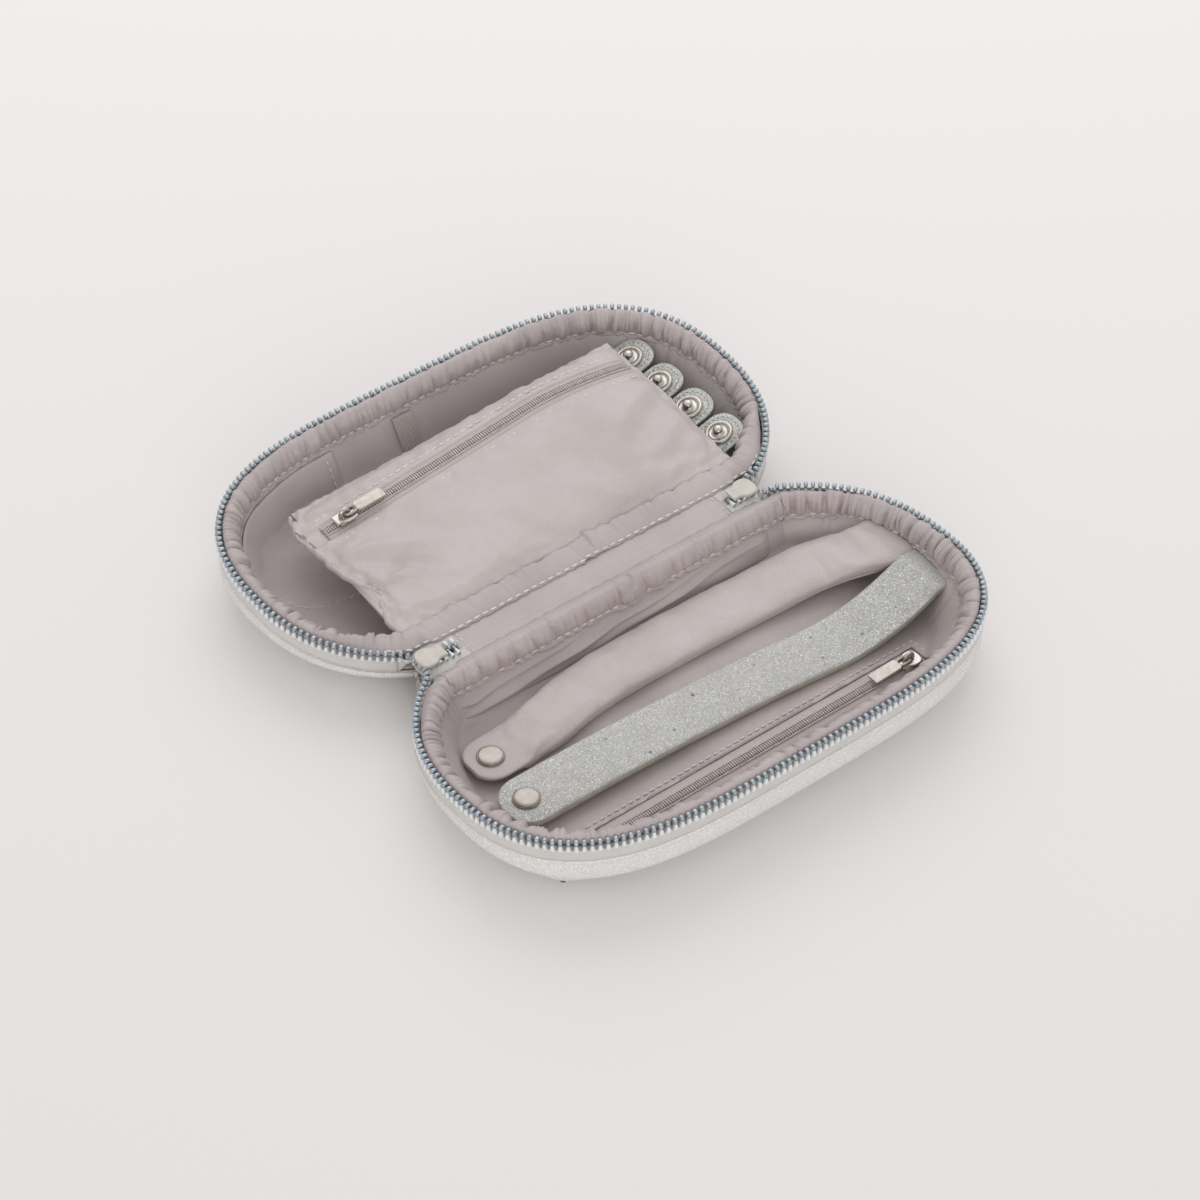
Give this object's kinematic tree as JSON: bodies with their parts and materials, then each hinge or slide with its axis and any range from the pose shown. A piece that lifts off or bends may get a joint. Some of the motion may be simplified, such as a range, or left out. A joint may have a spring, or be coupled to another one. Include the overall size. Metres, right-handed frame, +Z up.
{
  "type": "jewelry case",
  "caption": "Soft zipped travel jewelry case, opened flat: two padded halves on a spine, with a pouch, ring roll, earring strip, snap straps and zip pockets.",
  "frame": {"origin": "on the table under the middle of the spine, with the case lying open and flat", "axes": "+X along the spine towards the necklace tabs, +Y towards the lid's far side, +Z up"},
  "size_m": [0.2106, 0.2334, 0.036],
  "materials": {
    "shell_leather": "pale silver glitter leatherette, satin sheen",
    "strap_leather": "silver fine-glitter leatherette with painted grey-beige edges",
    "satin": "mauve-grey polyester satin, soft sheen",
    "zip_twill": "light warm grey woven zip tape, matte",
    "tooth_metal": "blue-grey steel teeth with bright worn faces",
    "slider_metal": "cream satin metal",
    "nickel": "polished nickel",
    "coil_nylon": "rose-grey nylon coil, semi-matte",
    "stiffener_board": "plain board, matte, hidden between shell and lining",
    "elastic": "ribbed elastic webbing, matte"
  },
  "bodies": {
    "root": {"base_shell": "shell_leather", "base_board": "stiffener_board", "base_lining": "satin", "base_rim_band": "satin", "base_zip_tape": "zip_twill", "base_zip_teeth": "tooth_metal", "ring_roll_anchor": "satin", "ring_snap_stud": "nickel", "earring_strip_anchor": "strap_leather", "strip_snap_stud": "nickel", "floor_pocket_tape": "zip_twill", "floor_pocket_coil": "coil_nylon", "floor_pocket_bag": "satin", "base_slip_pocket": "satin"},
    "spine": {"spine_panel": "shell_leather", "spine_lining": "satin", "zip_end_left": "tooth_metal", "zip_end_right": "tooth_metal"},
    "lid": {"lid_shell": "shell_leather", "lid_board": "stiffener_board", "lid_lining": "satin", "lid_rim_band": "satin", "lid_zip_tape": "zip_twill", "lid_zip_teeth": "tooth_metal", "pouch_seam": "satin", "necklace_strap_root": "strap_leather", "necklace_socket_1": "nickel", "necklace_socket_2": "nickel", "necklace_socket_3": "nickel", "necklace_socket_4": "nickel", "elastic_loop": "elastic", "lid_slip_pocket": "satin"},
    "pouch": {"pouch": "satin", "pouch_zip_tape": "zip_twill", "pouch_zip_coil": "coil_nylon"},
    "pouch_slider": {"pouch_slider": "nickel"},
    "pouch_pull": {"pouch_pull": "nickel"},
    "necklace_tab_1": {"necklace_tab_1": "strap_leather", "necklace_stud_1": "nickel"},
    "necklace_tab_2": {"necklace_tab_2": "strap_leather", "necklace_stud_2": "nickel"},
    "necklace_tab_3": {"necklace_tab_3": "strap_leather", "necklace_stud_3": "nickel"},
    "necklace_tab_4": {"necklace_tab_4": "strap_leather", "necklace_stud_4": "nickel"},
    "ring_roll": {"ring_roll": "satin", "ring_snap_cap": "nickel", "ring_snap_socket": "nickel"},
    "earring_strip": {"earring_strip": "strap_leather", "strip_snap_cap": "nickel", "strip_snap_socket": "nickel"},
    "floor_pocket_slider": {"floor_pocket_slider": "nickel"},
    "floor_pocket_pull": {"floor_pocket_pull": "nickel"},
    "main_slider_left": {"main_slider_left": "slider_metal"},
    "main_pull_left": {"main_pull_left": "nickel"},
    "main_slider_right": {"main_slider_right": "slider_metal"},
    "main_pull_right": {"main_pull_right": "nickel"}
  },
  "joints": [
    {"name": "spine_fold", "type": "hinge", "parent": "root", "child": "spine", "pos_m": [0, -0.004, 0.02025], "axis": [-1, 0, 0], "range_deg": [-86.3, 0]},
    {"name": "lid_fold", "type": "hinge", "parent": "spine", "child": "lid", "pos_m": [0, 0.004, 0.02025], "axis": [-1, 0, 0], "range_deg": [-86.3, 0]},
    {"name": "pouch_flap", "type": "hinge", "parent": "lid", "child": "pouch", "pos_m": [0, 0.0151, 0.0228], "axis": [1, 0, 0], "range_deg": [0, 95]},
    {"name": "pouch_zip_slide", "type": "slide", "parent": "pouch", "child": "pouch_slider", "axis": [0.9928, 0, 0.1198], "range_m": [0, 0.074]},
    {"name": "pouch_pull_swing", "type": "hinge", "parent": "pouch_slider", "child": "pouch_pull", "pos_m": [-0.05644, 0.0715, 0.02798], "axis": [0, -1, 0], "range_deg": [0, 165]},
    {"name": "necklace_tab_1_lift", "type": "hinge", "parent": "lid", "child": "necklace_tab_1", "pos_m": [0.0736, 0.0315, 0.0175], "axis": [0, -1, 0], "range_deg": [0, 40]},
    {"name": "necklace_tab_2_lift", "type": "hinge", "parent": "lid", "child": "necklace_tab_2", "pos_m": [0.0736, 0.0489, 0.0175], "axis": [0, -1, 0], "range_deg": [0, 40]},
    {"name": "necklace_tab_3_lift", "type": "hinge", "parent": "lid", "child": "necklace_tab_3", "pos_m": [0.0736, 0.0663, 0.0175], "axis": [0, -1, 0], "range_deg": [0, 40]},
    {"name": "necklace_tab_4_lift", "type": "hinge", "parent": "lid", "child": "necklace_tab_4", "pos_m": [0.0736, 0.0837, 0.0175], "axis": [0, -1, 0], "range_deg": [0, 40]},
    {"name": "ring_roll_lift", "type": "hinge", "parent": "root", "child": "ring_roll", "pos_m": [0.08855, -0.0445, 0.0183], "axis": [0, 1, 0], "range_deg": [0, 80]},
    {"name": "earring_strip_lift", "type": "hinge", "parent": "root", "child": "earring_strip", "pos_m": [0.09045, -0.0656, 0.0183], "axis": [0, 1, 0], "range_deg": [0, 80]},
    {"name": "floor_pocket_zip_slide", "type": "slide", "parent": "root", "child": "floor_pocket_slider", "axis": [-1, 0, 0], "range_m": [0, 0.122]},
    {"name": "floor_pocket_pull_swing", "type": "hinge", "parent": "floor_pocket_slider", "child": "floor_pocket_pull", "pos_m": [0.0665, -0.088, 0.00855], "axis": [0, 1, 0], "range_deg": [0, 160]},
    {"name": "main_zip_left_slide", "type": "slide", "parent": "spine", "child": "main_slider_left", "axis": [1, 0, 0], "range_m": [0, 0.0045]},
    {"name": "main_pull_left_swing", "type": "hinge", "parent": "main_slider_left", "child": "main_pull_left", "pos_m": [-0.0758, 0, 0.01835], "axis": [0, 1, 0], "range_deg": [-85, 85]},
    {"name": "main_zip_right_slide", "type": "slide", "parent": "spine", "child": "main_slider_right", "axis": [1, 0, 0], "range_m": [0, 0.0012]},
    {"name": "main_pull_right_swing", "type": "hinge", "parent": "main_slider_right", "child": "main_pull_right", "pos_m": [0.0683, 0, 0.01835], "axis": [0, 1, 0], "range_deg": [-85, 85]}
  ],
  "couplings": [
    {"joint": "lid_fold", "follows": "spine_fold", "ratio": 1}
  ]
}
